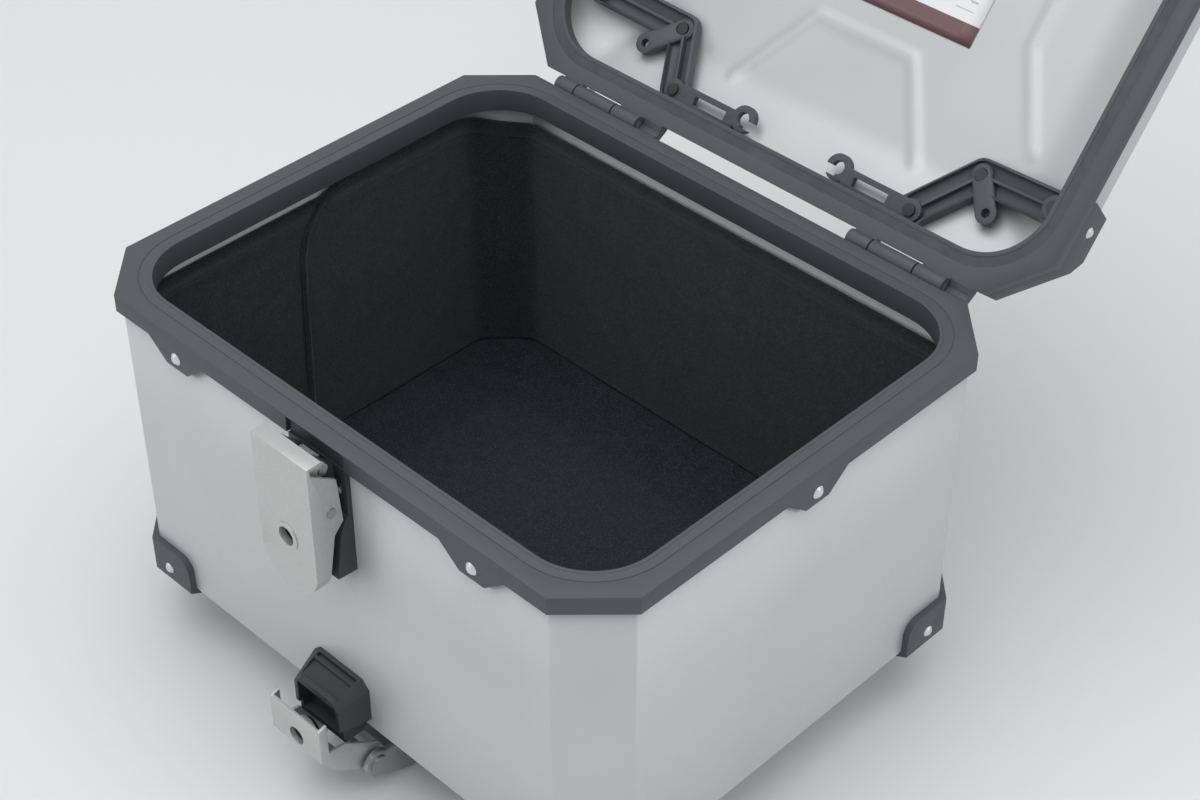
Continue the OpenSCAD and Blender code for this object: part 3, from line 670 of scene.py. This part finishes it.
def softened(frame, node, width, slot_material, body):
    """A copy of a CAD piece with small rounded edges, which catch the light as moulded ones do."""
    source = frame["nodes"][node]
    bm = bmesh.new()
    bm.from_mesh(source.data)
    bmesh.ops.remove_doubles(bm, verts=bm.verts, dist=0.00001)
    bmesh.ops.dissolve_limit(bm, angle_limit=math.radians(1.0), verts=bm.verts, edges=bm.edges)
    obj = link_mesh(node + "_soft", bm)
    bevel = obj.modifiers.new("edges", "BEVEL")
    bevel.width = width * MM
    bevel.segments = 3
    bevel.limit_method = "ANGLE"
    bevel.angle_limit = math.radians(32)
    apply_modifiers(obj)
    obj.data.shade_smooth()
    obj.data.set_sharp_from_angle(angle=math.radians(40))
    obj.data.materials.clear()
    obj.data.materials.append(slot_material)
    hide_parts(node)
    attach(obj, body)
    return obj


# ---- stage, light and camera ----

CAMERA_AT = Vector((0.787, -0.7547, 1.0881))
AZIMUTH, ELEVATION, ROLL = math.radians(44.34), math.radians(39.37), math.radians(0.204)


def camera():
    back = Vector((math.sin(AZIMUTH) * math.cos(ELEVATION), -math.cos(AZIMUTH) * math.cos(ELEVATION),
                   math.sin(ELEVATION)))
    right = Vector((0, 0, 1)).cross(back).normalized()
    up = back.cross(right)
    rolled_right = right * math.cos(ROLL) + up * math.sin(ROLL)
    rolled_up = up * math.cos(ROLL) - right * math.sin(ROLL)
    data = bpy.data.cameras.new("camera")
    data.lens = 69.66
    data.sensor_width = 36.0
    data.clip_end = 50.0
    obj = bpy.data.objects.new("camera", data)
    bpy.context.scene.collection.objects.link(obj)
    turn = Matrix((rolled_right, rolled_up, back)).transposed().to_4x4()
    obj.matrix_world = Matrix.Translation(CAMERA_AT) @ turn
    bpy.context.scene.camera = obj


def floor():
    bm = bmesh.new()
    bmesh.ops.create_grid(bm, x_segments=1, y_segments=1, size=15000)
    obj = new_object("floor", bm)
    n = Nodes("pale_floor")
    n.shade(Roughness=0.6, Specular_IOR_Level=0.2)
    n.shader.inputs["Base Color"].default_value = (0.735, 0.75, 0.748, 1)
    obj.data.materials.append(n.material)


def area_light(name, at, target, size, power):
    data = bpy.data.lights.new(name, "AREA")
    data.shape = "RECTANGLE"
    data.size, data.size_y = size
    data.energy = power
    obj = bpy.data.objects.new(name, data)
    bpy.context.scene.collection.objects.link(obj)
    obj.location = at
    obj.rotation_euler = (Vector(target) - Vector(at)).to_track_quat("-Z", "Y").to_euler()


def light():
    world = bpy.data.worlds.new("studio")
    bpy.context.scene.world = world
    world.use_nodes = True
    ground = world.node_tree.nodes["Background"]
    ground.inputs["Color"].default_value = (0.95, 0.975, 1.0, 1)
    ground.inputs["Strength"].default_value = 0.62
    area_light("overhead", (0.1, -0.3, 2.6), (0, 0.1, 0.25), (3.0, 2.6), 42)
    area_light("left_box", (-1.9, -2.3, 1.3), (0, 0, 0.15), (1.4, 1.2), 7)
    area_light("right_box", (2.6, 1.2, 1.3), (0, 0, 0.15), (1.4, 1.2), 8)
    bpy.context.scene.view_settings.view_transform = "Standard"


# ---- build ----

def main():
    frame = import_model()
    camera()
    light()
    floor()

    finishes = {
        "aluminium_sheet": sheet_metal("satin_aluminium", (0.545, 0.557, 0.568)),
        "rim_plastic": moulded("grey_plastic", (0.066, 0.071, 0.082)),
        "black_plastic": moulded("black_plastic", (0.030, 0.032, 0.038)),
        "rivet_metal": plain_metal("rivet_aluminium", (0.72, 0.73, 0.74), 0.38, 0.7),
        "steel": plain_metal("zinc_steel", (0.42, 0.43, 0.44), 0.36),
        "lever_metal": cast_silver("silver_casting", (0.54, 0.535, 0.53)),
        "lock_metal": plain_metal("black_lock", (0.008, 0.008, 0.009), 0.6, 0.0, 0.2),
        "dark_screw": plain_metal("dark_screw", (0.05, 0.052, 0.056), 0.4, 0.5),
        "soft_rubber": soft_rubber("grey_rubber", (0.056, 0.060, 0.070)),
        "felt": needled_felt("grey_felt", (0.015, 0.018, 0.025), (0.060, 0.067, 0.083)),
        "label_film": label_film("white_label"),
    }
    slot_of = {part["node"]: part["material_slot"] for part in frame["record"]["subparts"]}
    for name, obj in frame["nodes"].items():
        obj.data.materials.clear()
        obj.data.materials.append(finishes[slot_of[name]])

    case_shell(finishes["aluminium_sheet"])
    lid_skin(finishes["aluminium_sheet"])
    inset = OVERHANG + SHEET + 0.4
    felt_wall("liner_front_felt", FRONT_FROM, -RIM_D / 2, inset, FRONT_TOPS, WALL_Z + 5,
              straight_edge, finishes["felt"], "liner_front")
    felt_wall("liner_back_felt", SEAM_Y, RIM_D / 2, inset + 3.4, BACK_TOPS, WALL_Z + 5,
              curved_edge, finishes["felt"], "liner_back")
    felt_floor(finishes["felt"])
    label(finishes["label_film"])

    soft_edges = {"rim_frame": 0.5, "lid_frame": 0.6, "upper_lever": 0.7, "lower_lever": 0.7,
                  "lower_latch_housing": 0.6, "upper_latch_base": 0.4, "latch_bracket": 0.5}
    for name in frame["nodes"]:
        if name.startswith("corner_protector"):
            soft_edges[name] = 1.4
        if name.startswith(("lid_guard", "lid_brace")):
            soft_edges[name] = 0.7
    body_of = {node: body for body, nodes in frame["record"]["behaviour"]["bodies"].items()
               for node in nodes}
    for name, width in soft_edges.items():
        slot = slot_of[name]
        softened(frame, name, width, finishes[slot], body_of[name])


main()
